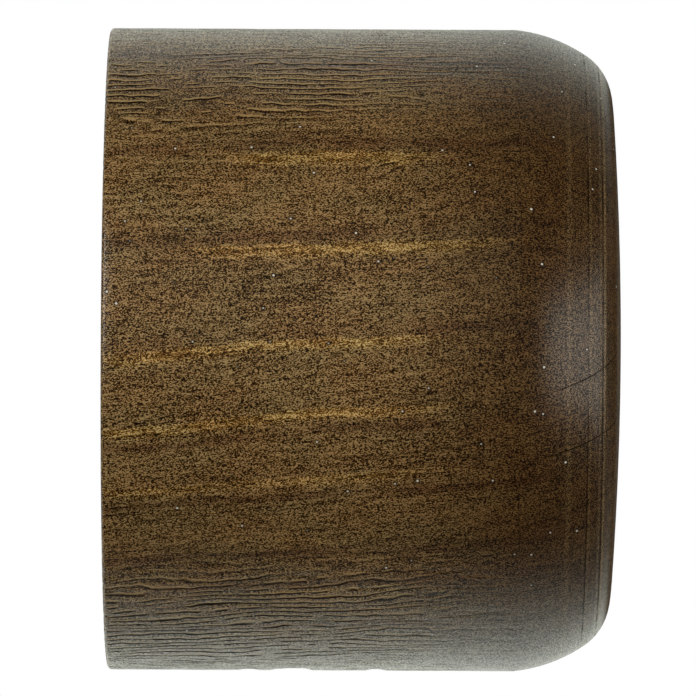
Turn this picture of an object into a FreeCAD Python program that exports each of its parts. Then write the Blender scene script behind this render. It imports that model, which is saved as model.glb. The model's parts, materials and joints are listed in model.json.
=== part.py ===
"""Slip-on end cap finial for a round wooden curtain pole, turned from one piece of wood.

The pole runs along X. Its sawn end butts against the floor of the cap's socket, and the centre of
that floor is the origin. +X points out of the pole's end, towards the cap's domed face, and +Z is up.
All sizes are in millimetres and angles in degrees.
"""

import FreeCAD
import Part

import math
import os

from FreeCAD import Vector

# Socket for the pole
POLE_DIAMETER = 35.0
POLE_CLEARANCE = 0.25  # between the pole and the socket's wall, all round
SOCKET_DEPTH = 22.0
SOCKET_LEAD_IN = 0.6  # chamfer that guides the pole into the mouth
BIT_POINT_DIAMETER = 4.0  # pit that the boring bit's centre point leaves in the floor
BIT_POINT_DEPTH = 1.6

# Turned outside
WALL = 4.75  # wood around the socket
RIM_EDGE_RADIUS = 0.3  # sanded edge where the barrel meets the mouth's flat rim
SOLID_BARREL = 6.4  # straight barrel beyond the socket's floor
ARRIS_ANGLE = 6.0  # the shoulder leaves the barrel at this angle, as a faint line round the cap
SHOULDER_RADIUS = 10.9  # long curve of the shoulder, in section
SHOULDER_TURN = 34.0  # angle to the axis where the long curve hands over to the corner
CORNER_RADIUS = 4.0  # tighter curve between the shoulder and the end face, in section
DOME_RADIUS = 238.0  # shallow crown of the end face

# Worked out from the sizes above
SOCKET_RADIUS = POLE_DIAMETER / 2 + POLE_CLEARANCE
BARREL_RADIUS = SOCKET_RADIUS + WALL
MOUTH_X = -SOCKET_DEPTH
AXIS_START = Vector(0, 0, 0)
AXIS_DIRECTION = Vector(1, 0, 0)
FULL_TURN = 360.0


def section_point(x, radius):
    """A point of the half section, which is drawn in the XZ plane above the axis."""
    return Vector(x, 0, radius)


def on_arc(centre, radius, angle):
    """The point of an arc where its tangent has turned by angle from the axis towards the end face."""
    turn = math.radians(angle)
    return centre + section_point(math.sin(turn), math.cos(turn)) * radius


def arc_centre(point, radius, angle):
    """The centre of the arc of that radius that passes through point with its tangent at angle."""
    return point - on_arc(Vector(), radius, angle)


def arc_edge(centre, radius, start_angle, end_angle):
    """A convex arc of the half section between two tangent angles."""
    angles = (start_angle, (start_angle + end_angle) / 2, end_angle)
    return Part.Arc(*(on_arc(centre, radius, angle) for angle in angles)).toShape()


def line_edges(*points):
    """Straight edges through the points, in order."""
    return [Part.LineSegment(a, b).toShape() for a, b in zip(points, points[1:])]


def revolve(edges):
    """The solid that a closed half section sweeps about the pole's axis."""
    face = Part.Face(Part.Wire(edges))
    return face.revolve(AXIS_START, AXIS_DIRECTION, FULL_TURN)


def turned_blank():
    """The outside of the cap, still solid: flat rim, straight barrel, shoulder, corner and domed end."""
    rim_centre = section_point(MOUTH_X + RIM_EDGE_RADIUS, BARREL_RADIUS - RIM_EDGE_RADIUS)
    rim_edge = arc_edge(rim_centre, RIM_EDGE_RADIUS, -90, 0)

    arris = section_point(SOLID_BARREL, BARREL_RADIUS)
    shoulder_centre = arc_centre(arris, SHOULDER_RADIUS, ARRIS_ANGLE)
    shoulder = arc_edge(shoulder_centre, SHOULDER_RADIUS, ARRIS_ANGLE, SHOULDER_TURN)

    # The dome's centre lies on the axis, where its circle touches the corner's circle from outside.
    handover = on_arc(shoulder_centre, SHOULDER_RADIUS, SHOULDER_TURN)
    corner_centre = arc_centre(handover, CORNER_RADIUS, SHOULDER_TURN)
    dome_angle = math.degrees(math.acos(corner_centre.z / (DOME_RADIUS - CORNER_RADIUS)))
    corner = arc_edge(corner_centre, CORNER_RADIUS, SHOULDER_TURN, dome_angle)
    dome_centre = arc_centre(on_arc(corner_centre, CORNER_RADIUS, dome_angle), DOME_RADIUS, dome_angle)
    dome = arc_edge(dome_centre, DOME_RADIUS, dome_angle, 90)

    rim_foot = on_arc(rim_centre, RIM_EDGE_RADIUS, -90)
    barrel_start = on_arc(rim_centre, RIM_EDGE_RADIUS, 0)
    apex = on_arc(dome_centre, DOME_RADIUS, 90)
    closing = line_edges(apex, section_point(MOUTH_X, 0), rim_foot)
    return revolve([rim_edge, *line_edges(barrel_start, arris), shoulder, corner, dome, *closing])


def pole_socket():
    """The wood that the boring bit takes out: lead-in, straight wall, flat floor and its point's pit."""
    mouth_radius = SOCKET_RADIUS + SOCKET_LEAD_IN
    return revolve(
        line_edges(
            section_point(MOUTH_X, 0),
            section_point(MOUTH_X, mouth_radius),
            section_point(MOUTH_X + SOCKET_LEAD_IN, SOCKET_RADIUS),
            section_point(0, SOCKET_RADIUS),
            section_point(0, BIT_POINT_DIAMETER / 2),
            section_point(BIT_POINT_DEPTH, 0),
            section_point(MOUTH_X, 0),
        )
    )


def end_cap():
    """The finished finial, one solid of wood."""
    return turned_blank().cut(pole_socket())


os.makedirs("parts", exist_ok=True)
cap = end_cap()
cap.exportStep("parts/end_cap.step")
box = cap.optimalBoundingBox()
print(f"end_cap: {box.XLength:.2f} long, {box.ZLength:.2f} across, {cap.Volume / 1000:.2f} cm3")
print(f"valid {cap.isValid()}, solids {len(cap.Solids)}, faces {len(cap.Faces)}")
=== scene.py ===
"""Looks of a slip-on wooden end cap finial: its turned mesh, stained and lacquered wood, light and camera.

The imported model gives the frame: the pole's axis is X, the centre of the socket's floor is the origin, +X
points out of the pole's end to the domed face and +Z is up. Lengths are in metres, apart from the grain's,
which are in millimetres because the wood's patterns are. Angles are in degrees.
"""

import json
import logging
import math
from collections.abc import Iterable, Mapping
from dataclasses import dataclass
from enum import Enum

import bpy
import numpy as np
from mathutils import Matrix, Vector

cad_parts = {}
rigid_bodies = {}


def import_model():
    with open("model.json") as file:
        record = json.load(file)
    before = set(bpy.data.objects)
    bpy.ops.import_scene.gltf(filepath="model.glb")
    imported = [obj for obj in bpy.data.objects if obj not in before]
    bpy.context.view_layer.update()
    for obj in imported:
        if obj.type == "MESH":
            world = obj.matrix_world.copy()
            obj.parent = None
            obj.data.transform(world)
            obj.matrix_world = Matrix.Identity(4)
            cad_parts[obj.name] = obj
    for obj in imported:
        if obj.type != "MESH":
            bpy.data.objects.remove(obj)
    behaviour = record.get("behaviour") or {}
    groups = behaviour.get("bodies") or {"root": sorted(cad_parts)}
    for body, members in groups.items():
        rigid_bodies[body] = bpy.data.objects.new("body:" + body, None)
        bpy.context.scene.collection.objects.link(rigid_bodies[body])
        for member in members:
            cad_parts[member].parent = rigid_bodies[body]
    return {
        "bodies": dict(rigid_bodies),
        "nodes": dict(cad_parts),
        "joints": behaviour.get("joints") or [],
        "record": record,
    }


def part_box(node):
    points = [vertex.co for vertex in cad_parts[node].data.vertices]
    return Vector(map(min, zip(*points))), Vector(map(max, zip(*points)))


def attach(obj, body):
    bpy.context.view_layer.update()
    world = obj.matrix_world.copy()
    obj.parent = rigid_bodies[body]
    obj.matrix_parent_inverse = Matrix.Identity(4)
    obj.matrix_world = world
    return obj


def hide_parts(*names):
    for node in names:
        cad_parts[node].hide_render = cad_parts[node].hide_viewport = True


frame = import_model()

log = logging.getLogger("end_cap_finial")

MM = 0.001
MM_PER_METRE = 1000.0
FULL_TURN = 2 * math.pi
LATEWOOD_MARKS = ("Streak", "Shade", "Line")
WHITE = (1.0, 1.0, 1.0, 1.0)
MERGE_DISTANCE = 1e-7
OPEN_GRAIN = "open_grain"
BAKE_MAP = "OFBake"
CARVED = "carved"

Point = tuple[float, float]
Colour = tuple[float, float, float, float]
Socket = bpy.types.NodeSocket
Feed = float | tuple[float, ...] | Socket
Feeds = Mapping[int | str, Feed]


class Node(Enum):
    """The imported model's node."""

    END_CAP = "end_cap"


class Slot(Enum):
    """The record's material slot."""

    STAINED_WOOD = "stained_wood"


class Finish(Enum):
    """Places of the finishes in the cap's list of materials."""

    LACQUERED = 0
    BORED = 1


class DarkEdge(Enum):
    """The side of a growth ring's pale streak on which its dark line lies."""

    OUTER = 1.0
    INNER = -1.0


def srgb(red: int, green: int, blue: int) -> Colour:
    """Turns a colour as a screen shows it into the linear one that shaders take.

    Args:
        red: Red, from 0 to 255.
        green: Green, from 0 to 255.
        blue: Blue, from 0 to 255.

    Returns:
        The linear colour, with an alpha of 1.
    """

    def linear(level: int) -> float:
        """One channel, by the screen's own curve."""
        share = level / 255
        return share / 12.92 if share <= 0.04045 else ((share + 0.055) / 1.055) ** 2.4

    return linear(red), linear(green), linear(blue), 1.0


class Wiring:
    """Adds nodes to one shader tree and joins them, so that a formula reads as one."""

    def __init__(self, tree: bpy.types.NodeTree) -> None:
        """Keeps the tree that the nodes go into."""
        self.tree = tree

    def node(self, kind: str, feeds: Feeds | None = None, **settings: object) -> bpy.types.Node:
        """Adds a node.

        Args:
            kind: Blender's name for the kind of node.
            feeds: What each of its inputs gets, by name or place.
            settings: The node's own settings.

        Returns:
            The new node.
        """
        made = self.tree.nodes.new(kind)
        for name, value in settings.items():
            setattr(made, name, value)
        for key, value in (feeds or {}).items():
            self.feed(made.inputs[key], value)
        return made

    def feed(self, socket: Socket, value: Feed) -> None:
        """Joins another node's output to an input, or sets the input to a plain value."""
        if isinstance(value, Socket):
            self.tree.links.new(value, socket)
        else:
            socket.default_value = value

    def split(self, vector: Feed) -> bpy.types.NodeOutputs:
        """A vector's X, Y and Z."""
        return self.node("ShaderNodeSeparateXYZ", {0: vector}).outputs

    def join(self, **parts: Feed) -> Socket:
        """A vector from some of its parts, the others being 0."""
        feeds = {name.upper(): part for name, part in parts.items()}
        return self.node("ShaderNodeCombineXYZ", feeds).outputs[0]

    def length(self, vector: Feed) -> Socket:
        """A vector's length."""
        return self.node("ShaderNodeVectorMath", {0: vector}, operation="LENGTH").outputs["Value"]

    def times(self, *values: Feed) -> Socket:
        """The product of several values."""
        first, *others = values
        for value in others:
            first = self.math("MULTIPLY", first, value)
        return first

    def away(self, value: Feed, middle: Feed) -> Socket:
        """How far a value lies from a middle, to either side."""
        return self.math("ABSOLUTE", self.math("SUBTRACT", value, middle))

    def math(self, operation: str, *values: Feed) -> Socket:
        """A Math node's result."""
        return self.node("ShaderNodeMath", dict(enumerate(values)), operation=operation).outputs[0]

    def vector(self, operation: str, *values: Feed) -> Socket:
        """A Vector Math node's vector."""
        return self.node("ShaderNodeVectorMath", dict(enumerate(values)), operation=operation).outputs[0]

    def total(self, values: Iterable[Socket]) -> Socket:
        """The sum of several values."""
        first, *others = values
        for value in others:
            first = self.math("ADD", first, value)
        return first

    def fade(self, value: Feed, low: float, high: float, start: float = 0.0, end: float = 1.0) -> Socket:
        """Goes smoothly from start to end as a value goes from low to high.

        Args:
            value: The value to read.
            low: Where the change starts.
            high: Where it is complete.
            start: The result below low.
            end: The result above high.

        Returns:
            The result, held at start and end outside the range.
        """
        feeds = {0: value, 1: low, 2: high, 3: start, 4: end}
        return self.node("ShaderNodeMapRange", feeds, interpolation_type="SMOOTHSTEP").outputs[0]

    def swing(self, value: Feed, amount: Feed) -> Socket:
        """Turns a pattern from 0 to 1 into one that swings by amount to either side of 0."""
        return self.math("MULTIPLY", self.math("MULTIPLY_ADD", value, 2.0, -1.0), amount)

    def scale(self, colour: Feed, factor: Feed) -> Socket:
        """Makes a colour lighter or darker."""
        return self.node("ShaderNodeVectorMath", {0: colour, 3: factor}, operation="SCALE").outputs[0]

    def noise(self, place: Feed, per_mm: tuple[float, ...], detail: float) -> Socket:
        """A cloudy pattern from 0 to 1.

        Args:
            place: Coordinates in millimetres.
            per_mm: How many waves the pattern has in a millimetre, along each axis.
            detail: How many finer patterns are added.

        Returns:
            The pattern's value.
        """
        scaled = self.vector("MULTIPLY", place, per_mm)
        feeds = {"Vector": scaled, "Scale": 1.0, "Detail": detail, "Roughness": 0.5}
        return self.node("ShaderNodeTexNoise", feeds).outputs[0]

    def mix(self, share: Feed, first: Feed, second: Feed) -> Socket:
        """Goes from one colour to another as share goes from 0 to 1."""
        feeds = {0: share, 6: first, 7: second}
        return self.node("ShaderNodeMix", feeds, data_type="RGBA").outputs[2]

    def multiply(self, share: Feed, first: Feed, second: Feed) -> Socket:
        """Multiplies a share of one colour by another."""
        feeds = {0: share, 6: first, 7: second}
        return self.node("ShaderNodeMix", feeds, data_type="RGBA", blend_type="MULTIPLY").outputs[2]

    def background(self, colour: Colour, strength: Feed) -> Socket:
        """A Background shader."""
        return self.node("ShaderNodeBackground", {"Color": colour, "Strength": strength}).outputs[0]

    def ramp(self, value: Feed, stops: Iterable[tuple[float, Colour]]) -> Socket:
        """Reads a colour off a scale.

        Args:
            value: The place on the scale, from 0 to 1.
            stops: Places on the scale and the colours there.

        Returns:
            The colour.
        """
        made = self.node("ShaderNodeValToRGB", {0: value})
        first, *between, last = stops
        elements = made.color_ramp.elements
        for element, (place, colour) in zip(elements, (first, last)):
            element.position = place
            element.color = colour
        for place, colour in between:
            elements.new(place).color = colour
        return made.outputs[0]


class Group:
    """A shader node group with named inputs and outputs, built once and placed where it is needed."""

    KINDS = {"value": "NodeSocketFloat", "vector": "NodeSocketVector"}

    def __init__(self, name: str, inputs: Mapping[str, str], outputs: Mapping[str, str]) -> None:
        """Makes an empty group.

        Args:
            name: The group's name.
            inputs: Its inputs' names and kinds.
            outputs: Its outputs' names and kinds.
        """
        self.tree = bpy.data.node_groups.new(name, "ShaderNodeTree")
        for direction, sockets in (("INPUT", inputs), ("OUTPUT", outputs)):
            for socket, kind in sockets.items():
                self.tree.interface.new_socket(name=socket, in_out=direction, socket_type=self.KINDS[kind])
        self.wiring = Wiring(self.tree)
        self.inputs = self.wiring.node("NodeGroupInput").outputs
        self.outputs = self.wiring.node("NodeGroupOutput").inputs

    def give(self, name: str, value: Feed) -> None:
        """Feeds one of the group's outputs."""
        self.wiring.feed(self.outputs[name], value)

    def place(self, wiring: Wiring, feeds: Feeds) -> bpy.types.NodeOutputs:
        """Places the group in a tree.

        Args:
            wiring: The tree's wiring.
            feeds: What each of the group's inputs gets there.

        Returns:
            The placed group's outputs.
        """
        return wiring.node("ShaderNodeGroup", feeds, node_tree=self.tree).outputs


@dataclass(frozen=True)
class GrowthRing:
    """One year's latewood, where it shows as a pale streak along the barrel. Sizes are in millimetres."""

    radius: float
    streak_from: float
    streak_to: float
    brightness: float
    line: float
    dark_edge: DarkEdge = DarkEdge.OUTER


@dataclass(frozen=True)
class Timber:
    """How the blank was cut from the tree. Sizes are in millimetres."""

    pith_y: float = -0.5
    pith_z: float = -42.4
    pith_y_slope: float = -0.2
    pith_z_slope: float = -0.05
    fibre_y_slope: float = -0.05
    fibre_z_slope: float = 0.09
    end_sweep_from: float = 3.0
    end_sweep: float = 0.012
    streak_width: float = 0.75
    shade_width: float = 1.1
    groove_turn_radius: float = 22.5
    groove_spacing: float = 0.62
    groove_lip: float = 0.22
    groove_row_step: float = 7.3
    rings: tuple[GrowthRing, ...] = (
        GrowthRing(62.5, -14.0, -2.0, 0.2, 0.1),
        GrowthRing(58.6, -15.0, 2.0, 1.0, 0.35),
        GrowthRing(53.9, -18.0, 8.0, 1.05, 0.15),
        GrowthRing(48.6, -27.0, 4.0, 1.0, 0.25),
        GrowthRing(44.2, -27.0, 5.0, 1.05, 0.9, DarkEdge.INNER),
        GrowthRing(39.8, -27.0, 4.0, 0.7, 0.9, DarkEdge.INNER),
        GrowthRing(35.2, -14.0, -2.0, 0.2, 0.6, DarkEdge.INNER),
        GrowthRing(30.5, -12.0, 2.0, 0.25, 0.3),
        GrowthRing(26.0, -18.0, -4.0, 0.4, 0.3),
        GrowthRing(21.5, -12.0, 0.0, 0.4, 0.3),
    )

    def latewood_group(self) -> Group:
        """One ring's pale streak, the dark shade beside it and the thin line that it draws on the end.

        Returns:
            The group, which reads how far a point lies outside the ring.
        """
        inputs = dict.fromkeys(("Outside", "Along", "From", "To", "Shade Side"), "value")
        group = Group("latewood", inputs, dict.fromkeys(LATEWOOD_MARKS, "value"))
        wiring, given = group.wiring, group.inputs
        middle = wiring.times(wiring.math("ADD", given["From"], given["To"]), 0.5)
        half = wiring.times(wiring.math("SUBTRACT", given["To"], given["From"]), 0.5)
        away = wiring.away(given["Along"], middle)
        taper = wiring.fade(wiring.math("DIVIDE", away, half), 0.5, 1.15, 1.0, 0.0)
        outer = wiring.fade(given["Outside"], -0.05, 0.15, 1.0, 0.0)
        inside = wiring.math("MULTIPLY_ADD", taper, self.streak_width, given["Outside"])
        band = wiring.times(outer, wiring.fade(inside, -0.1, 0.45))
        group.give("Streak", wiring.times(band, taper))
        half_width = self.streak_width / 2
        from_middle = wiring.times(wiring.math("ADD", given["Outside"], half_width), given["Shade Side"])
        from_shade = wiring.math("SUBTRACT", from_middle, half_width + self.shade_width / 2)
        off_shade = wiring.math("ABSOLUTE", from_shade)
        group.give("Shade", wiring.fade(off_shade, 0.05, self.shade_width / 2, 1.0, 0.0))
        group.give("Line", wiring.fade(wiring.math("ABSOLUTE", given["Outside"]), 0.02, 0.08, 1.0, 0.0))
        return group

    def ring_group(self) -> Group:
        """All growth rings together.

        Returns:
            The group, which reads places in millimetres.
        """
        group = Group("growth_rings", {"Place": "vector"}, dict.fromkeys(LATEWOOD_MARKS, "value"))
        wiring, place = group.wiring, group.inputs["Place"]
        along, across, height = wiring.split(place)
        pith_y = wiring.math("MULTIPLY_ADD", along, self.pith_y_slope, self.pith_y)
        pith_z = wiring.math("MULTIPLY_ADD", along, self.pith_z_slope, self.pith_z)
        from_pith_y = wiring.math("SUBTRACT", across, pith_y)
        from_pith_z = wiring.math("SUBTRACT", height, pith_z)
        radius = wiring.length(wiring.join(y=from_pith_y, z=from_pith_z))
        past = wiring.math("MAXIMUM", wiring.math("SUBTRACT", along, self.end_sweep_from), 0.0)
        sweep = wiring.times(wiring.times(past, past), -self.end_sweep)
        slow = wiring.swing(wiring.noise(place, (0.05, 0.1, 0.1), 1.0), 0.5)
        raggedness = wiring.fade(along, 3.0, 8.0, 0.17, 0.05)
        ragged = wiring.swing(wiring.noise(place, (0.6, 1.8, 1.8), 1.0), raggedness)
        radius = wiring.total((radius, sweep, slow, ragged))
        latewood = self.latewood_group()
        sums: dict[str, list[Socket]] = {mark: [] for mark in LATEWOOD_MARKS}
        for ring in self.rings:
            feeds = {
                "Outside": wiring.math("SUBTRACT", radius, ring.radius),
                "Along": along,
                "From": ring.streak_from,
                "To": ring.streak_to,
                "Shade Side": ring.dark_edge.value,
            }
            placed = latewood.place(wiring, feeds)
            sums["Streak"].append(wiring.times(placed["Streak"], ring.brightness))
            sums["Shade"].append(placed["Shade"])
            sums["Line"].append(wiring.times(placed["Line"], ring.line))
        patchy = wiring.fade(wiring.noise(place, (0.16, 0.5, 0.5), 1.0), 0.36, 0.56, 0.25, 1.0)
        uneven = wiring.fade(wiring.noise(place, (0.22, 0.6, 0.6), 1.0), 0.34, 0.58, 0.7, 1.0)
        group.give("Streak", wiring.times(wiring.total(sums["Streak"]), uneven))
        group.give("Shade", wiring.times(wiring.total(sums["Shade"]), patchy))
        group.give("Line", wiring.total(sums["Line"]))
        return group

    def grooves(self, wiring: Wiring, grain: Feed) -> tuple[Socket, Socket]:
        """Broken thin grooves along the grain, shown mostly at the barrel's top and bottom, where the light
        grazes it.

        Args:
            wiring: The group's wiring.
            grain: Coordinates along the grain, in millimetres.

        Returns:
            The grooves and the pale lip above each of them. As colour, the grooves' dark is painted shade
            and the lips' pale a painted highlight.
        """
        along, across, height = wiring.split(grain)
        around = wiring.math("ARCTAN2", height, wiring.times(across, -1.0))
        count = wiring.times(around, self.groove_turn_radius / self.groove_spacing)
        bent = wiring.swing(wiring.noise(grain, (0.12, 0.35, 0.35), 1.0), 1.6)
        waver = wiring.swing(wiring.noise(grain, (1.0, 0.9, 0.9), 0.0), 0.26)
        count = wiring.total((count, bent, waver))
        row = wiring.math("FLOOR", count)
        spot = wiring.join(x=along, y=wiring.times(row, self.groove_row_step))
        crowd = wiring.swing(wiring.noise(grain, (0.09, 0.22, 0.22), 0.0), 0.3)
        crowded = wiring.math("ADD", wiring.noise(spot, (0.62, 1.0, 1.0), 1.0), crowd)
        broken = wiring.fade(crowded, 0.38, 0.52)
        above = wiring.fade(height, 15.6, 18.6, 0.14, 1.0)
        above = wiring.times(above, wiring.fade(height, 21.3, 22.0, 1.0, 0.2))
        below = wiring.fade(height, -16.5, -12.5, 1.0, 0.12)
        below = wiring.times(below, wiring.fade(height, -21.8, -20.8, 0.2, 1.0))
        shown = wiring.times(wiring.math("MAXIMUM", above, below), wiring.fade(along, -10.0, 8.0, 1.0, 0.15))
        shown = wiring.times(shown, broken)
        marks = []
        for middle in (0.5, 0.5 + self.groove_lip):
            off = wiring.away(wiring.math("FRACT", count), middle)
            marks.append(wiring.times(wiring.fade(off, 0.07, 0.2, 1.0, 0.0), shown))
        return marks[0], marks[1]

    def fibre_group(self) -> Group:
        """Fine speckle, long fibres and cloudy stain, all drawn out along the grain.

        Returns:
            The group, which reads places in millimetres.
        """
        names = ("Speckle", "Fibre", "Cloud", "Hue", "Groove", "Lip")
        outputs = dict.fromkeys(names, "value")
        group = Group("fibres", {"Place": "vector"}, outputs)
        wiring, place = group.wiring, group.inputs["Place"]
        along, across, height = wiring.split(place)
        across = wiring.math("SUBTRACT", across, wiring.times(along, self.fibre_y_slope))
        height = wiring.math("SUBTRACT", height, wiring.times(along, self.fibre_z_slope))
        grain = wiring.join(x=along, y=across, z=height)
        dots = wiring.noise(grain, (12.0, 15.0, 15.0), 0.0)
        dashes = wiring.noise(grain, (6.5, 15.0, 15.0), 0.0)
        group.give("Speckle", wiring.fade(wiring.times(wiring.math("ADD", dots, dashes), 0.5), 0.34, 0.66))
        group.give("Fibre", wiring.fade(wiring.noise(grain, (0.5, 3.0, 3.0), 1.0), 0.3, 0.7))
        group.give("Cloud", wiring.fade(wiring.noise(grain, (0.1, 0.3, 0.3), 1.0), 0.3, 0.7))
        group.give("Hue", wiring.fade(wiring.noise(grain, (0.2, 0.45, 0.45), 1.0), 0.32, 0.68))
        groove, lip = self.grooves(wiring, grain)
        group.give("Groove", groove)
        group.give("Lip", lip)
        return group


@dataclass(frozen=True)
class Splinter:
    """A torn fibre on the barrel's near side: a pale lip over a dark tear, the pale painted as a highlight
    and the dark as shade over the real bump. Sizes are in millimetres.
    """

    x: float
    z: float
    half_length: float
    rise: float
    half_width: float
    pale: float
    dark: float

    @staticmethod
    def group() -> Group:
        """One splinter's pale lip and dark tear: its painted highlight and painted shade.

        Returns:
            The group, which reads places in millimetres.
        """
        inputs = {
            "Place": "vector",
            "X": "value",
            "Z": "value",
            "Half Length": "value",
            "Rise": "value",
            "Half Width": "value",
        }
        group = Group("splinter", inputs, {"Pale": "value", "Dark": "value"})
        wiring, given = group.wiring, group.inputs
        along, across, height = wiring.split(given["Place"])
        from_x = wiring.math("SUBTRACT", along, given["X"])
        share = wiring.math("DIVIDE", wiring.math("ABSOLUTE", from_x), given["Half Length"])
        near = wiring.math("LESS_THAN", across, 0.0)
        window = wiring.times(wiring.fade(share, 0.5, 1.0, 1.0, 0.0), near)
        waver = wiring.swing(wiring.noise(given["Place"], (1.3, 0.0, 0.0), 1.0), 0.12)
        above = wiring.math("SUBTRACT", wiring.math("SUBTRACT", height, given["Z"]), waver)
        above = wiring.math("SUBTRACT", above, wiring.times(from_x, given["Rise"]))
        widths = wiring.math("DIVIDE", above, given["Half Width"])
        for name, middle in (("Pale", 0.8), ("Dark", -0.8)):
            off = wiring.away(widths, middle)
            group.give(name, wiring.times(wiring.fade(off, 0.3, 1.0, 1.0, 0.0), window))
        return group


@dataclass(frozen=True)
class TurningMark:
    """A fine line right round the shoulder along one of the lathe tool's grooves, painted paler as a
    highlight where pale is above 0 and darker as shade where it is below. Sizes are in millimetres.
    """

    x: float
    half_width: float
    pale: float


@dataclass(frozen=True)
class StainedWood:
    """Softwood under a dark brown stain: what the lacquered outside and the bored inside have in common."""

    timber: Timber
    pores: Colour = srgb(20, 7, 0)
    shade: Colour = srgb(64, 39, 8)
    body: Colour = srgb(97, 63, 20)
    bloom: Colour = srgb(128, 95, 45)
    # Also the colour of the painted highlight along the turning marks.
    fleck_and_glint: Colour = srgb(182, 153, 106)
    streak_gain: Colour = (1.75, 1.85, 1.75, 1.0)
    shade_gain: Colour = (0.72, 0.64, 0.64, 1.0)
    end_gain: Colour = (0.4, 0.33, 0.25, 1.0)
    line: Colour = srgb(24, 13, 4)
    reddish: Colour = (1.04, 0.98, 0.93, 1.0)
    olive: Colour = (0.98, 1.01, 1.01, 1.0)

    def tones(self) -> tuple[tuple[float, Colour], ...]:
        """The stain's colours, from the dark of an open pore to its palest speck, which also paints the
        highlights along the turning marks.
        """
        return (0.0, self.pores), (0.28, self.shade), (0.5, self.body), (0.72, self.bloom), (1.0, self.fleck_and_glint)


@dataclass(frozen=True)
class WoodGroups:
    """The node groups that both finishes place."""

    rings: Group
    fibres: Group

    @classmethod
    def of(cls, timber: Timber) -> "WoodGroups":
        """Builds the groups for one piece of timber."""
        return cls(timber.ring_group(), timber.fibre_group())


def new_material(name: str) -> tuple[bpy.types.Material, Wiring, bpy.types.Node]:
    """Makes a material with a bare shader.

    Args:
        name: The material's name.

    Returns:
        The material, its wiring and its Principled shader.
    """
    material = bpy.data.materials.new(name)
    material.use_nodes = True
    wiring = Wiring(material.node_tree)
    return material, wiring, material.node_tree.nodes["Principled BSDF"]


def place_in_mm(wiring: Wiring) -> Socket:
    """The object's own coordinates, in millimetres."""
    place = wiring.node("ShaderNodeTexCoord").outputs["Object"]
    return wiring.vector("MULTIPLY", place, (MM_PER_METRE,) * 3)


@dataclass(frozen=True)
class Marks:
    """Two patterns that go together: what a mark makes paler and what it makes darker."""

    pale: Socket
    dark: Socket


@dataclass(frozen=True)
class WoodSurface:
    """The wood's patterns at the shaded point, as the lacquered finish reads them."""

    place: Socket
    along: Socket
    facing_end: Socket
    side_grain: Socket
    end_grain: Socket
    rings: bpy.types.NodeOutputs
    fibres: bpy.types.NodeOutputs
    streak: Socket
    line: Socket
    groove: Socket
    lip: Socket
    turned: Marks
    torn: Marks


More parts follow.
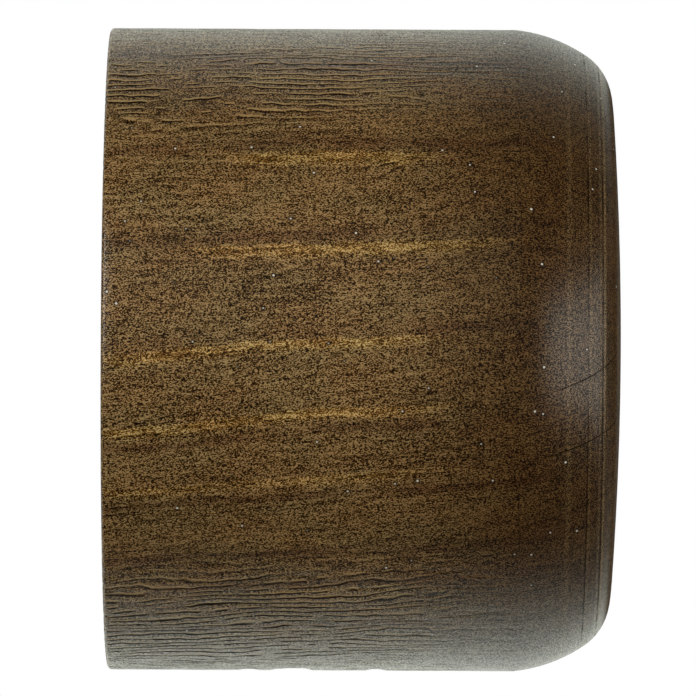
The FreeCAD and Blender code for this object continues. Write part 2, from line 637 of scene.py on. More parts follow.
@dataclass(frozen=True)
class LacqueredWood:
    """The outside: stained wood under a thin satin lacquer, darker and duller towards the end grain."""

    wood: StainedWood
    groups: WoodGroups
    lacquer: float = 1.0
    lacquer_roughness: float = 0.3
    lacquer_ior: float = 1.65
    bare_roughness: float = 0.8
    bare_specular: float = 0.05
    darkening_from: float = -5.0
    darkening_to: float = 8.5
    rim_stain: float = 0.7
    middle_tone: float = 0.535
    speckle_swing: float = 0.7
    speckle_calmed: float = -0.26
    fibre_swing: float = 0.15
    cloud_swing: float = 0.07
    # groove_tone and lip_tone paint the grooves' shade and the lips' highlight into the colour.
    groove_tone: float = -1.0
    lip_tone: float = 1.7
    # carved_tone paints shade into the carved hollows.
    carved_tone: float = -0.15
    # torn_tone paints the torn fibres' highlight and shade into the colour.
    torn_tone: float = 0.5
    # turned_tone paints shade along the lathe's grooves, and turned_share their highlight.
    turned_tone: float = -0.7
    turned_share: float = 0.7
    bare_film: float = 0.1
    bump_height: float = 0.03 * MM
    dust_per_mm: float = 0.65
    dust_radius: float = 0.105
    dust: Colour = srgb(240, 234, 224)
    splinters: tuple[Splinter, ...] = (
        Splinter(-4.04, 12.52, 0.4, 0.13, 0.09, 0.9, 0.9),
        Splinter(-2.75, 12.7, 0.8, 0.26, 0.08, 0.8, 0.9),
        Splinter(-2.47, 12.2, 1.2, 0.46, 0.13, 0.7, 0.9),
        Splinter(-2.38, -12.75, 0.7, 0.4, 0.1, 0.8, 0.8),
        Splinter(-7.8, -14.1, 1.3, 0.04, 0.09, 0.7, 0.6),
        Splinter(-18.5, -12.8, 1.2, 0.2, 0.1, 0.2, 0.8),
        Splinter(-10.9, -10.1, 2.8, 0.063, 0.13, 0.0, 0.55),
        Splinter(-3.75, 6.35, 0.9, 0.4, 0.22, 0.1, 0.6),
    )
    # Each turning mark paints a highlight where its pale is above 0 and shade where it is below.
    turning_marks: tuple[TurningMark, ...] = (
        TurningMark(12.2, 0.1, 1.0),
        TurningMark(11.91, 0.1, 0.4),
        TurningMark(11.2, 0.12, 0.4),
        TurningMark(9.74, 0.22, 0.3),
        TurningMark(12.06, 0.08, -0.6),
        TurningMark(11.73, 0.08, -0.25),
        TurningMark(11.05, 0.08, -0.6),
        TurningMark(6.4, 0.12, -0.12),
    )

    def turned(self, wiring: Wiring, place: Feed, speckle: Feed) -> Marks:
        """The painted highlights and painted shade along the lathe tool's grooves.

        Args:
            wiring: The material's wiring.
            place: Coordinates in millimetres.
            speckle: The pattern that breaks the pale marks into dots.

        Returns:
            How pale and how dark they make the wood.
        """
        along = wiring.split(place)[0]
        pale, dark = [], []
        for mark in self.turning_marks:
            off = wiring.away(along, mark.x)
            band = wiring.fade(off, 0.4 * mark.half_width, mark.half_width, abs(mark.pale), 0.0)
            (pale if mark.pale > 0 else dark).append(band)
        dotted = wiring.times(wiring.total(pale), wiring.fade(speckle, 0.3, 0.8, 0.1, 1.0))
        broken_shade = wiring.fade(wiring.noise(place, (0.0, 0.3, 0.3), 1.0), 0.38, 0.6, 0.25, 1.0)
        return Marks(dotted, wiring.times(wiring.total(dark), broken_shade))

    def torn(self, wiring: Wiring, place: Feed) -> Marks:
        """The torn fibres' painted highlights and painted shade.

        Args:
            wiring: The material's wiring.
            place: Coordinates in millimetres.

        Returns:
            How pale and how dark they make the wood.
        """
        group = Splinter.group()
        pale, dark = [], []
        for splinter in self.splinters:
            feeds = {
                "Place": place,
                "X": splinter.x,
                "Z": splinter.z,
                "Half Length": splinter.half_length,
                "Rise": splinter.rise,
                "Half Width": splinter.half_width,
            }
            placed = group.place(wiring, feeds)
            pale.append(wiring.times(placed["Pale"], splinter.pale))
            dark.append(wiring.times(placed["Dark"], splinter.dark))
        return Marks(wiring.total(pale), wiring.total(dark))

    def dusted(self, wiring: Wiring, place: Feed) -> tuple[Socket, Socket]:
        """Specks of dust caught in the lacquer.

        Args:
            wiring: The material's wiring.
            place: Coordinates in millimetres.

        Returns:
            The specks and the dark rim round each of them.
        """
        cells = wiring.node("ShaderNodeTexVoronoi", {"Vector": place, "Scale": self.dust_per_mm})
        away = wiring.math("DIVIDE", cells.outputs["Distance"], self.dust_per_mm)
        speck = wiring.fade(away, 0.6 * self.dust_radius, self.dust_radius, 1.0, 0.0)
        rim = wiring.fade(away, self.dust_radius, 2.2 * self.dust_radius, 0.7, 0.0)
        return speck, rim

    def read(self, wiring: Wiring) -> WoodSurface:
        """Reads all patterns of the wood at the shaded point.

        Args:
            wiring: The material's wiring.

        Returns:
            The patterns.
        """
        place = place_in_mm(wiring)
        normal = wiring.node("ShaderNodeTexCoord").outputs["Normal"]
        facing_end = wiring.math("ABSOLUTE", wiring.split(normal)[0])
        side_grain = wiring.fade(facing_end, 0.1, 0.6, 1.0, 0.0)
        end_grain = wiring.fade(facing_end, 0.7, 0.97)
        along = wiring.split(place)[0]
        rings = self.groups.rings.place(wiring, {"Place": place})
        fibres = self.groups.fibres.place(wiring, {"Place": place})
        end_line = wiring.math("MAXIMUM", wiring.fade(along, 5.0, 11.0), end_grain)
        return WoodSurface(
            place=place,
            along=along,
            facing_end=facing_end,
            side_grain=side_grain,
            end_grain=end_grain,
            rings=rings,
            fibres=fibres,
            streak=wiring.times(rings["Streak"], side_grain),
            line=wiring.times(rings["Line"], end_line),
            groove=wiring.times(fibres["Groove"], side_grain),
            lip=wiring.times(fibres["Lip"], side_grain),
            turned=self.turned(wiring, place, fibres["Speckle"]),
            torn=self.torn(wiring, place),
        )

    def tone(self, wiring: Wiring, at: WoodSurface) -> Socket:
        """How pale or dark the stain came out, on the stain's own scale.

        Args:
            wiring: The material's wiring.
            at: The wood's patterns.

        Returns:
            The place on the scale.
        """
        carved = wiring.node("ShaderNodeAttribute", attribute_name=CARVED).outputs["Fac"]
        speckle = wiring.math("MULTIPLY_ADD", at.streak, self.speckle_calmed, self.speckle_swing)
        parts = (
            wiring.swing(at.fibres["Speckle"], speckle),
            wiring.swing(at.fibres["Fibre"], self.fibre_swing),
            wiring.swing(at.fibres["Cloud"], self.cloud_swing),
            # The grooves' dark is painted shade and their lips' pale a painted highlight, over their real
            # bump.
            wiring.times(at.groove, self.groove_tone),
            wiring.times(at.lip, self.lip_tone),
            # The carved hollows are painted darker, as shade.
            wiring.times(carved, self.carved_tone),
            # The torn fibres' pale is a painted highlight and their dark painted shade.
            wiring.times(at.torn.pale, self.torn_tone),
            wiring.times(at.torn.dark, -self.torn_tone),
            # The turning marks' dark is painted shade.
            wiring.times(at.turned.dark, self.turned_tone),
        )
        return wiring.math("ADD", wiring.total(parts), self.middle_tone)

    def colour(self, wiring: Wiring, at: WoodSurface) -> Socket:
        """The stained wood's colour, with the rings, the marks and the dust.

        Args:
            wiring: The material's wiring.
            at: The wood's patterns.

        Returns:
            The colour.
        """
        wood = self.wood
        colour = wiring.ramp(self.tone(wiring, at), wood.tones())
        colour = wiring.multiply(1.0, colour, wiring.mix(at.fibres["Hue"], wood.reddish, wood.olive))
        colour = wiring.multiply(at.streak, colour, wood.streak_gain)
        cut_grain = wiring.math("MAXIMUM", at.side_grain, at.end_grain)
        colour = wiring.multiply(wiring.times(at.rings["Shade"], cut_grain), colour, wood.shade_gain)
        # The colour grows darker along the axis towards the shoulder, and on the end grain.
        end_darkening = wiring.times(at.end_grain, self.rim_stain)
        end_darkening = wiring.math("MAXIMUM", wiring.fade(at.along, self.darkening_from, self.darkening_to), end_darkening)
        colour = wiring.multiply(end_darkening, colour, wood.end_gain)
        # The turning marks' pale is a painted highlight.
        colour = wiring.mix(wiring.times(at.turned.pale, self.turned_share), colour, wood.fleck_and_glint)
        colour = wiring.mix(at.line, colour, wood.line)
        speck, rim = self.dusted(wiring, at.place)
        colour = wiring.scale(colour, wiring.math("SUBTRACT", 1.0, rim))
        return wiring.mix(speck, colour, self.dust)

    def film(self, wiring: Wiring, at: WoodSurface) -> Socket:
        """How much lacquer stands on the wood: less over pores, and hardly any in cuts and on the end.

        Args:
            wiring: The material's wiring.
            at: The wood's patterns.

        Returns:
            The coat's weight.
        """
        film = wiring.fade(at.facing_end, 0.8, 0.95, self.lacquer, 0.03)
        film = wiring.times(film, wiring.fade(at.fibres["Speckle"], 0.05, 0.9, 0.35, 1.0))
        for bare in (at.groove, at.line, at.turned.dark):
            film = wiring.times(film, wiring.fade(bare, 0.0, 1.0, 1.0, self.bare_film))
        return film

    def relief(self, wiring: Wiring, at: WoodSurface) -> Socket:
        """The height of the pores, torn fibres and groove lips."""
        lips = wiring.times(wiring.math("SUBTRACT", at.lip, at.groove), 2.0)
        tears = wiring.math("SUBTRACT", at.torn.pale, at.torn.dark)
        return wiring.total((wiring.times(at.fibres["Speckle"], 0.4), tears, lips))

    def material(self) -> bpy.types.Material:
        """Builds the material.

        Returns:
            The material.
        """
        material, wiring, shader = new_material("lacquered_stained_wood")
        at = self.read(wiring)
        wiring.feed(shader.inputs["Base Color"], self.colour(wiring, at))
        wiring.feed(shader.inputs["Coat Weight"], self.film(wiring, at))
        shader.inputs["Coat Roughness"].default_value = self.lacquer_roughness
        shader.inputs["Coat IOR"].default_value = self.lacquer_ior
        shader.inputs["Roughness"].default_value = self.bare_roughness
        shader.inputs["Specular IOR Level"].default_value = self.bare_specular
        feeds = {"Height": self.relief(wiring, at), "Distance": self.bump_height, "Strength": 1.0}
        wiring.feed(shader.inputs["Normal"], wiring.node("ShaderNodeBump", feeds).outputs[0])
        return material


@dataclass(frozen=True)
class BoredWood:
    """The socket: the same stained wood as the bit left it, dull and without lacquer."""

    wood: StainedWood
    groups: WoodGroups
    roughness: float = 0.85
    specular: float = 0.15
    middle_tone: float = 0.45
    bump_height: float = 0.03 * MM

    def material(self) -> bpy.types.Material:
        """Builds the material.

        Returns:
            The material.
        """
        material, wiring, shader = new_material("bored_stained_wood")
        place = place_in_mm(wiring)
        rings = self.groups.rings.place(wiring, {"Place": place})
        fibres = self.groups.fibres.place(wiring, {"Place": place})
        along, across, height = wiring.split(place)
        radius = wiring.length(wiring.join(y=across, z=height))
        cut = wiring.join(x=along, y=radius)
        scratch = wiring.fade(wiring.noise(cut, (4.0, 4.0, 0.0), 2.0), 0.3, 0.7)
        tone = wiring.total(
            (
                wiring.swing(fibres["Speckle"], 0.25),
                wiring.swing(fibres["Fibre"], 0.08),
                wiring.swing(fibres["Cloud"], 0.08),
                wiring.swing(scratch, 0.1),
            )
        )
        colour = wiring.ramp(wiring.math("ADD", tone, self.middle_tone), self.wood.tones())
        colour = wiring.mix(wiring.times(rings["Line"], 0.4), colour, self.wood.line)
        wiring.feed(shader.inputs["Base Color"], colour)
        shader.inputs["Roughness"].default_value = self.roughness
        shader.inputs["Specular IOR Level"].default_value = self.specular
        relief = wiring.math("MULTIPLY_ADD", scratch, 2.0, fibres["Speckle"])
        feeds = {"Height": relief, "Distance": self.bump_height, "Strength": 1.0}
        bump = wiring.node("ShaderNodeBump", feeds)
        wiring.feed(shader.inputs["Normal"], bump.outputs[0])
        return material


@dataclass(frozen=True)
class Relief:
    """Unevenness of the worked surface, from a cloudy texture drawn out along the grain.

    The texture's cells are in millimetres. Its values below groove_to sink by up to depth.
    """

    name: str
    cell: tuple[float, float, float]
    groove_from: float
    groove_to: float
    depth: float
    tilt: float
    hard: bool

    def carve(self, cap: bpy.types.Object, mask: str) -> None:
        """Sinks the grooves into the mesh.

        Args:
            cap: The mesh.
            mask: The vertex group that says where.
        """
        texture = bpy.data.textures.new(self.name, "CLOUDS")
        texture.noise_scale = 1.0
        texture.noise_depth = 0
        texture.noise_type = "HARD_NOISE" if self.hard else "SOFT_NOISE"
        texture.noise_basis = "ORIGINAL_PERLIN"
        texture.use_color_ramp = True
        stops = ((self.groove_from, 0.0), (self.groove_to, 1.0))
        for element, (place, level) in zip(texture.color_ramp.elements, stops):
            element.position = place
            element.color = (level, level, level, 1.0)
        bpy.ops.object.select_all(action="DESELECT")
        bpy.ops.object.empty_add(rotation=(0.0, math.radians(self.tilt), 0.0))
        grain = bpy.context.object
        grain.scale = [size * MM for size in self.cell]
        bpy.context.view_layer.update()
        bpy.ops.object.select_all(action="DESELECT")
        cap.select_set(True)
        bpy.context.view_layer.objects.active = cap
        bpy.ops.object.modifier_add(type="DISPLACE")
        displace = cap.modifiers[-1]
        displace.texture = texture
        displace.texture_coords = "OBJECT"
        displace.texture_coords_object = grain
        displace.vertex_group = mask
        displace.direction = "NORMAL"
        displace.mid_level = 1.0
        displace.strength = self.depth
        bpy.ops.object.modifier_apply(modifier=displace.name)
        bpy.data.objects.remove(grain)


@dataclass(frozen=True)
class Chip:
    """A shallow flat knocked into the underside of the barrel."""

    x: float
    half_length: float
    depth: float


def smooth(value: np.ndarray, low: float, high: float) -> np.ndarray:
    """Goes smoothly from 0 to 1 as values go from low to high."""
    share = np.clip((value - low) / (high - low), 0.0, 1.0)
    return share * share * (3 - 2 * share)


def coordinates(item: bpy.types.Object) -> np.ndarray:
    """A mesh's vertices, one row each."""
    flat = np.empty(3 * len(item.data.vertices))
    item.data.vertices.foreach_get("co", flat)
    return flat.reshape(-1, 3)


@dataclass(frozen=True)
class FaceCorners:
    """Every corner of every face, one row each, with what its face is like."""

    place: np.ndarray
    centre: np.ndarray
    facing_end: np.ndarray
    bored: np.ndarray

    @classmethod
    def of(cls, cap: bpy.types.Object) -> "FaceCorners":
        """Reads them off a mesh that has its finishes.

        Args:
            cap: The mesh.

        Returns:
            The corners, in the order of the mesh's loops.
        """
        faces = cap.data.polygons
        corner = np.empty(len(cap.data.loops), dtype=np.int32)
        cap.data.loops.foreach_get("vertex_index", corner)
        totals = np.empty(len(faces), dtype=np.int32)
        faces.foreach_get("loop_total", totals)
        finishes = np.empty(len(faces), dtype=np.int32)
        faces.foreach_get("material_index", finishes)
        centres, normals = np.empty((len(faces), 3)), np.empty((len(faces), 3))
        faces.foreach_get("center", centres.ravel())
        faces.foreach_get("normal", normals.ravel())
        face = np.repeat(np.arange(len(faces)), totals)
        bored = finishes == Finish.BORED.value
        return cls(coordinates(cap)[corner], centres[face], np.abs(normals[face, 0]), bored[face])


@dataclass
class TurnedEndCap:
    """The cap's one piece of wood: its turned section, bored socket, worked surface and finishes."""

    barrel_radius: float
    mouth_x: float
    socket_radius: float
    lead_in: float = 0.6 * MM
    pit_radius: float = 2.0 * MM
    pit_depth: float = 1.6 * MM
    rim_edge_radius: float = 0.3 * MM
    arris_x: float = 6.4 * MM
    arris_angle: float = 6.0
    shoulder_radius: float = 10.9 * MM
    shoulder_turn: float = 34.0
    corner_radius: float = 4.0 * MM
    dome_radius: float = 238.0 * MM
    turns: int = 960
    flat_from: float = 0.87
    strip_gap: float = 0.6 * MM
    socket_scale: float = 0.5
    tool_marks: tuple[float, ...] = (24.3, 32.5, 47.6)
    tool_mark_depth: float = 0.015 * MM
    tool_mark_half_width: float = 0.1 * MM
    open_grain: Relief = Relief("open_grain", (6.0, 0.7, 0.7), 0.0, 0.08, 0.04 * MM, -5.0, True)
    raised_grain: Relief = Relief("raised_grain", (2.2, 0.4, 0.4), 0.25, 0.75, 0.012 * MM, -5.0, False)
    chips: tuple[Chip, ...] = (
        Chip(-12.3 * MM, 0.5 * MM, 0.16 * MM),
        Chip(-9.0 * MM, 1.2 * MM, 0.26 * MM),
        Chip(-3.2 * MM, 0.7 * MM, 0.2 * MM),
    )

    @classmethod
    def from_frame(cls, loaded: Mapping) -> "TurnedEndCap":
        """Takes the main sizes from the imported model.


        Returns:
            The cap, with its other sizes as they are by default.
        """
        low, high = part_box(Node.END_CAP.value)
        socket = next(mount for mount in loaded["record"]["mounts"] if mount["name"] == "pole_socket")
        return cls(high.z, low.x, socket["dims"]["r_mm"] * MM)

    @staticmethod
    def line(start: Point, end: Point, steps: int) -> list[Point]:
        """Points of a straight stretch of the section, without its start.

        Args:
            start: Where the stretch before it ended.
            end: Its last point.
            steps: How many points it gets.

        Returns:
            The points, each as a place along the axis and a radius.
        """
        along, out = end[0] - start[0], end[1] - start[1]
        shares = [(step + 1) / steps for step in range(steps)]
        return [(start[0] + along * share, start[1] + out * share) for share in shares]

    @staticmethod
    def on_arc(centre: Point, radius: float, angle: float) -> Point:
        """The point of an arc where its tangent has turned by angle from the axis."""
        turn = math.radians(angle)
        return centre[0] + radius * math.sin(turn), centre[1] + radius * math.cos(turn)

    def arc(self, centre: Point, radius: float, start: float, end: float, steps: int) -> list[Point]:
        """Points of a round stretch of the section, without its start, with any tool marks that lie on it.

        Args:
            centre: The arc's centre.
            radius: Its radius.
            start: Its first tangent angle.
            end: Its last tangent angle.
            steps: How many even points it gets.

        Returns:
            The points, each as a place along the axis and a radius.
        """
        half = math.degrees(self.tool_mark_half_width / radius)
        marks = [mark for mark in self.tool_marks if start < mark < end]
        even = [start + (end - start) * (step + 1) / steps for step in range(steps)]
        clear = [angle for angle in even if all(abs(angle - mark) > 2 * half for mark in marks)]
        sunk = {mark: radius - self.tool_mark_depth for mark in marks}
        edges = [mark + side * half for mark in marks for side in (-1, 1)]
        angles = sorted([*clear, *marks, *edges])
        return [self.on_arc(centre, sunk.get(angle, radius), angle) for angle in angles]

    def arc_centre(self, point: Point, radius: float, angle: float) -> Point:
        """The centre of the arc that passes through a point with its tangent at angle."""
        off = self.on_arc((0.0, 0.0), radius, angle)
        return point[0] - off[0], point[1] - off[1]

    def socket_section(self) -> list[Point]:
        """The bored half of the section, from the pit's tip to the mouth.

        Returns:
            The points, each as a place along the axis and a radius.
        """
        points = [(self.pit_depth, 0.0)]
        points += self.line(points[-1], (0.0, self.pit_radius), 1)
        points += self.line(points[-1], (0.0, self.socket_radius), 6)
        points += self.line(points[-1], (self.mouth_x + self.lead_in, self.socket_radius), 6)
        points += self.line(points[-1], (self.mouth_x, self.socket_radius + self.lead_in), 1)
        return points

    def outside_section(self, start: Point) -> list[Point]:
        """The turned half of the section, from the flat rim over barrel and shoulder to the dome's apex.

        Args:
            start: The rim's inner edge.

        Returns:
            The points after it, each as a place along the axis and a radius.
        """
        rim_centre = (self.mouth_x + self.rim_edge_radius, self.barrel_radius - self.rim_edge_radius)
        points = self.line(start, self.on_arc(rim_centre, self.rim_edge_radius, -90.0), 4)
        points += self.arc(rim_centre, self.rim_edge_radius, -90.0, 0.0, 4)
        points += self.line(points[-1], (self.arris_x, self.barrel_radius), 38)
        shoulder_centre = self.arc_centre(points[-1], self.shoulder_radius, self.arris_angle)
        points += self.arc(shoulder_centre, self.shoulder_radius, self.arris_angle, self.shoulder_turn, 10)
        corner_centre = self.arc_centre(points[-1], self.corner_radius, self.shoulder_turn)
        dome_angle = math.degrees(math.acos(corner_centre[1] / (self.dome_radius - self.corner_radius)))
        points += self.arc(corner_centre, self.corner_radius, self.shoulder_turn, dome_angle, 9)
        dome_centre = self.arc_centre(points[-1], self.dome_radius, dome_angle)
        points += self.arc(dome_centre, self.dome_radius, dome_angle, 90.0, 9)
        return points

    def section(self) -> list[Point]:
        """The whole half section, from the pit's tip round the mouth to the dome's apex."""
        bored = self.socket_section()
        return bored + self.outside_section(bored[-1])

    def turn(self) -> bpy.types.Object:
        """Draws the half section edge by edge and turns it about the pole's axis.

        Returns:
            The closed mesh.
        """
        bpy.ops.object.select_all(action="DESELECT")
        bpy.ops.mesh.primitive_plane_add(size=self.pit_radius)
        cap = bpy.context.object
        cap.name = cap.data.name = "turned_end_cap"
        bpy.ops.object.mode_set(mode="EDIT")
        bpy.ops.mesh.select_all(action="SELECT")
        bpy.ops.mesh.merge(type="CENTER")
        here = (0.0, 0.0)
        for number, there in enumerate(self.section()):
            step = (there[0] - here[0], 0.0, there[1] - here[1])
            if number:
                bpy.ops.mesh.extrude_vertices_move(TRANSFORM_OT_translate={"value": step})
            else:
                bpy.ops.transform.translate(value=step)
            here = there
        bpy.ops.object.mode_set(mode="OBJECT")
        bpy.ops.object.modifier_add(type="SCREW")
        lathe = cap.modifiers[-1]
        lathe.axis = "X"
        lathe.steps = lathe.render_steps = self.turns
        lathe.use_merge_vertices = True
        lathe.merge_threshold = MERGE_DISTANCE
        bpy.ops.object.modifier_apply(modifier=lathe.name)
        bpy.ops.object.mode_set(mode="EDIT")
        bpy.ops.mesh.select_all(action="SELECT")
        bpy.ops.mesh.remove_doubles(threshold=MERGE_DISTANCE)
        bpy.ops.mesh.normals_make_consistent(inside=False)
        bpy.ops.object.mode_set(mode="OBJECT")
        return cap

    def mask_outside(self, cap: bpy.types.Object) -> None:
        """Marks where the grain stands open: most at the top and bottom of the barrel, least on the end.

        Args:
            cap: The mesh.
        """
        along, across, height = coordinates(cap).T
        radius = np.hypot(across, height)
        outside = (radius > self.socket_radius + 2 * self.lead_in) | (along > self.pit_depth)
        barrel = 1 - smooth(along, 0.0, self.arris_x + self.shoulder_radius / 2)
        steep = 0.15 + 0.85 * smooth(np.abs(height), 0.4 * self.barrel_radius, 0.8 * self.barrel_radius)
        weights = np.round(outside * (0.15 + 0.85 * barrel) * steep, 2)
        group = cap.vertex_groups.new(name=OPEN_GRAIN)
        for weight in np.unique(weights):
            group.add(np.flatnonzero(weights == weight).tolist(), float(weight), "REPLACE")

    def roughen(self, cap: bpy.types.Object) -> None:
        """Carves the grain into the outside and keeps how deep it lies, for the finish to read.

        Args:
            cap: The mesh.
        """
        self.mask_outside(cap)
        before = np.hypot(*coordinates(cap).T[1:])
        self.open_grain.carve(cap, OPEN_GRAIN)
        sunk = (before - np.hypot(*coordinates(cap).T[1:])) / self.open_grain.depth
        carved = cap.data.attributes.new(CARVED, "FLOAT", "POINT")
        carved.data.foreach_set("value", np.clip(sunk, 0.0, 1.0).astype(np.float32))
        self.raised_grain.carve(cap, OPEN_GRAIN)
        cap.vertex_groups.clear()

    def chip(self, cap: bpy.types.Object) -> None:
        """Flattens the barrel's underside where it was knocked.

        Args:
            cap: The mesh.
        """
        points = coordinates(cap)
        outer = np.hypot(points[:, 1], points[:, 2]) > self.socket_radius + 2 * self.lead_in
        for chip in self.chips:
            reach = 1 - smooth(np.abs(points[:, 0] - chip.x), 0.4 * chip.half_length, 1.3 * chip.half_length)
            floor = -self.barrel_radius + chip.depth * reach
            low = outer & (reach > 0) & (points[:, 2] < floor)
            points[low, 2] = floor[low]
        cap.data.vertices.foreach_set("co", points.ravel())
        cap.data.update()

    def crease(self, cap: bpy.types.Object) -> None:
        """Smooths the shading, but keeps the real edges and the faint line where the barrel ends.

        Args:
            cap: The mesh.
        """
        bpy.ops.object.shade_smooth_by_angle(angle=math.radians(30))
        along = coordinates(cap)[:, 0]
        on_arris = np.abs(along - self.arris_x) < MERGE_DISTANCE
        for edge in cap.data.edges:
            if on_arris[edge.vertices[0]] and on_arris[edge.vertices[1]]:
                edge.use_edge_sharp = True

    def build(self) -> bpy.types.Object:
        """Makes the finished piece.

        Returns:
            The cap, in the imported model's frame.
        """
        cap = self.turn()
        self.crease(cap)
        self.roughen(cap)
        self.chip(cap)
        return cap

    def dress(self, cap: bpy.types.Object) -> None:
        """Gives the outside its lacquered finish and the socket its bored one.

        Args:
            cap: The finished mesh.
        """
        wood = StainedWood(Timber())
        groups = WoodGroups.of(wood.timber)
        cap.data.materials.append(LacqueredWood(wood, groups).material())
        cap.data.materials.append(BoredWood(wood, groups).material())
        mouth_radius = self.socket_radius + self.lead_in
        for face in cap.data.polygons:
            radius = math.hypot(face.center.y, face.center.z)
            bored = radius < mouth_radius and face.center.x < self.pit_depth
            on_rim = face.center.x < self.mouth_x + MERGE_DISTANCE
            face.material_index = (Finish.BORED if bored and not on_rim else Finish.LACQUERED).value
        self.unwrap(cap)

    def outline_length(self, along: np.ndarray) -> np.ndarray:
        """How far points of the outside lie from the mouth, measured along the turned section.

        Args:
            along: Places along the axis.

        Returns:
            The lengths.
        """
        section = np.array(self.section())
        edge = self.barrel_radius - self.rim_edge_radius - MERGE_DISTANCE
        outline = section[int(np.argmax(section[:, 1] >= edge)) :]
        lengths = np.concatenate(([0.0], np.cumsum(np.hypot(*np.diff(outline, axis=0).T))))
        return np.interp(along, outline[:, 0], lengths)

    def unwrap(self, cap: bpy.types.Object) -> None:
        """Lays the barrel out in three strips, with the dome beside them and the socket at a smaller scale.

        Args:
            cap: The mesh, with its finishes.
        """
        at = FaceCorners.of(cap)
        place, gap, small = at.place, self.strip_gap, self.socket_scale
        flat = (at.facing_end > self.flat_from) & ~at.bored
        rim = flat & (at.centre[:, 0] < self.mouth_x / 2)
        dome = flat & ~rim
        side = ~flat & ~at.bored
        base = at.bored & (at.centre[:, 0] > -MERGE_DISTANCE)
        wall = at.bored & ~base

        third = FULL_TURN / 3
        middle = np.arctan2(at.centre[:, 2], -at.centre[:, 1])
        off = np.arctan2(place[:, 2], -place[:, 1]) - middle
        off = (off + math.pi) % FULL_TURN - math.pi
        turn = (middle + third / 2) % FULL_TURN
        strip = np.floor(turn / third)
        along = self.outline_length(place[:, 0])

        strip_width, strip_height = third * self.barrel_radius, along[side].max()
        dome_radius = np.hypot(place[dome, 1], place[dome, 2]).max()
        base_radius, rim_radius = self.socket_radius * small, self.barrel_radius * small
        second_row = strip_height + gap
        last_row = second_row + max(strip_height, 2 * dome_radius) + gap
        base_x = FULL_TURN * base_radius + gap + base_radius
        rim_x = base_x + base_radius + gap + rim_radius

        layout = np.zeros((len(place), 2))
        from_left = (turn - strip * third + off) * self.barrel_radius
        layout[side, 0] = (from_left + np.where(strip == 1, strip_width + gap, 0.0))[side]
        layout[side, 1] = (along + np.where(strip == 2, second_row, 0.0))[side]
        layout[dome] = place[dome, 1:] + (strip_width + gap + dome_radius, second_row + dome_radius)
        layout[wall, 0] = ((turn + off) * base_radius)[wall]
        layout[wall, 1] = ((place[:, 0] - self.mouth_x) * small + last_row)[wall]
        layout[base] = place[base, 1:] * small + (base_x, last_row + base_radius)
        layout[rim] = place[rim, 1:] * small + (rim_x, last_row + rim_radius)
        layout += gap
        layout /= layout.max() + gap
        flat_map = cap.data.uv_layers.new(name=BAKE_MAP)
        flat_map.data.foreach_set("uv", layout.ravel())


@dataclass(frozen=True)
class SoftBox:
    """A soft lamp that looks at the cap."""

    name: str
    direction: tuple[float, float, float]
    distance: float
    width: float
    height: float
    level: float
    colour: tuple[float, float, float] = (1.0, 0.97, 0.9)

    def build(self) -> bpy.types.Object:
        """Makes the lamp.

        Returns:
            The lamp, with the power that lights a facing surface to its level.
        """
        data = bpy.data.lights.new(self.name, "AREA")
        data.shape = "RECTANGLE"
        data.size = self.width
        data.size_y = self.height
        data.color = self.colour
        data.energy = self.level * math.pi**2 * self.distance**2
        lamp = bpy.data.objects.new(self.name, data)
        bpy.context.scene.collection.objects.link(lamp)
        away = Vector(self.direction).normalized()
        lamp.location = away * self.distance
        lamp.rotation_euler = away.to_track_quat("Z", "Y").to_euler()
        return lamp


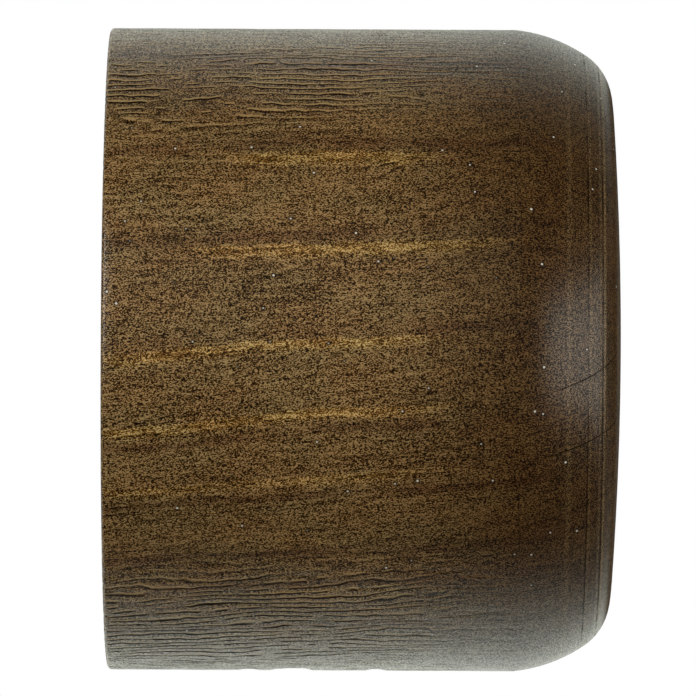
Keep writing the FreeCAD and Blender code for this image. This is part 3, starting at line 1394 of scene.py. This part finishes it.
@dataclass(frozen=True)
class Studio:
    """A pale floor, a white backdrop, a dim room on the camera's side and two soft lamps."""

    floor_z: float = -0.055
    floor_radius: float = 0.5
    floor_glow: float = 0.55
    low_level: float = 0.04
    high_level: float = 0.1
    mirror_dimming: float = 0.85
    mirrored_white: Colour = (0.94, 1.0, 0.9, 1.0)
    room_colour: Colour = (1.0, 0.94, 0.8, 1.0)
    lamps: tuple[SoftBox, ...] = (
        SoftBox("left_soft_box", (-0.62, -0.74, 0.3), 0.5, 0.35, 0.35, 0.6),
        SoftBox("right_soft_box", (0.9, -0.44, 0.0), 0.5, 0.6, 0.3, 0.48, (1.0, 0.95, 0.84)),
    )

    def floor(self) -> bpy.types.Object:
        """A round pale floor that fades out before its edge shows.

        Returns:
            The floor.
        """
        bpy.ops.object.select_all(action="DESELECT")
        bpy.ops.mesh.primitive_circle_add(
            vertices=96, radius=self.floor_radius, fill_type="NGON", location=(0, 0, self.floor_z)
        )
        floor = bpy.context.object
        floor.name = "pale_floor"
        bpy.ops.object.transform_apply(location=True, rotation=False, scale=False)
        material, wiring, shader = new_material("pale_floor")
        shader.inputs["Base Color"].default_value = (0.9, 0.9, 0.9, 1.0)
        shader.inputs["Emission Color"].default_value = WHITE
        shader.inputs["Emission Strength"].default_value = self.floor_glow
        shader.inputs["Roughness"].default_value = 0.9
        place = wiring.node("ShaderNodeTexCoord").outputs["Object"]
        flat = wiring.vector("MULTIPLY", place, (1.0, 1.0, 0.0))
        radius = wiring.length(flat)
        shown = wiring.fade(radius, 0.4 * self.floor_radius, 0.95 * self.floor_radius, 1.0, 0.0)
        seen = wiring.node("ShaderNodeLightPath").outputs["Is Camera Ray"]
        wiring.feed(shader.inputs["Alpha"], wiring.times(shown, seen))
        floor.data.materials.append(material)
        return floor

    def backdrop(self) -> None:
        """White to the camera, mirrored as white from behind the cap, and a dim room everywhere else."""
        world = bpy.data.worlds.new("white_studio")
        bpy.context.scene.world = world
        world.use_nodes = True
        world.node_tree.nodes.clear()
        wiring = Wiring(world.node_tree)
        towards = wiring.node("ShaderNodeTexCoord").outputs["Generated"]
        aside, depth, height = wiring.split(towards)
        path = wiring.node("ShaderNodeLightPath").outputs
        level = wiring.fade(height, -0.7, 0.6, self.low_level, self.high_level)
        dimming = wiring.math("MULTIPLY_ADD", path["Is Glossy Ray"], -self.mirror_dimming, 1.0)
        level = wiring.times(level, dimming)
        room = wiring.background(self.room_colour, level)
        white = wiring.background(WHITE, 1.0)
        bright = wiring.fade(height, -0.15, 0.15, 1.75, 1.25)
        mirror = wiring.background(self.mirrored_white, bright)
        turn = wiring.math("MULTIPLY_ADD", height, -0.1, depth)
        behind = wiring.times(wiring.fade(turn, -0.2, 0.9), wiring.fade(aside, 0.15, 0.75, 1.0, 0.1))
        mirrored = wiring.times(path["Is Glossy Ray"], behind)
        seen = wiring.math("MAXIMUM", path["Is Camera Ray"], path["Is Transmission Ray"])
        unseen = wiring.node("ShaderNodeMixShader", {0: mirrored, 1: room, 2: mirror}).outputs[0]
        shown = wiring.node("ShaderNodeMixShader", {0: seen, 1: unseen, 2: white}).outputs[0]
        wiring.node("ShaderNodeOutputWorld", {"Surface": shown})

    def build(self) -> None:
        """Makes the floor, the backdrop and the lamps."""
        self.floor()
        self.backdrop()
        for lamp in self.lamps:
            lamp.build()


@dataclass(frozen=True)
class SideCamera:
    """The camera, square on to the cap's side and turned by a hair."""

    distance: float = 0.6
    lens: float = 442.0
    across: float = -5.27 * MM
    above: float = 0.13 * MM
    roll: float = -0.28

    def build(self) -> bpy.types.Object:
        """Makes the camera and gives it to the scene.

        Returns:
            The camera.
        """
        data = bpy.data.cameras.new("side_camera")
        data.lens = self.lens
        camera = bpy.data.objects.new("side_camera", data)
        bpy.context.scene.collection.objects.link(camera)
        camera.location = (self.across, -self.distance, self.above)
        camera.rotation_euler = (math.radians(90), math.radians(self.roll), 0)
        bpy.context.scene.camera = camera
        return camera


def main() -> None:
    """Builds the cap, the studio and the camera."""
    logging.basicConfig(level=logging.INFO, format="%(message)s")
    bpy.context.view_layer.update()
    bpy.context.scene.view_settings.view_transform = "Standard"
    builder = TurnedEndCap.from_frame(frame)
    cap = builder.build()
    builder.dress(cap)
    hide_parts(Node.END_CAP.value)
    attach(cap, "root")
    log.info("%s: %d faces", cap.name, len(cap.data.polygons))
    Studio().build()
    SideCamera().build()


if __name__ == "__main__":
    main()
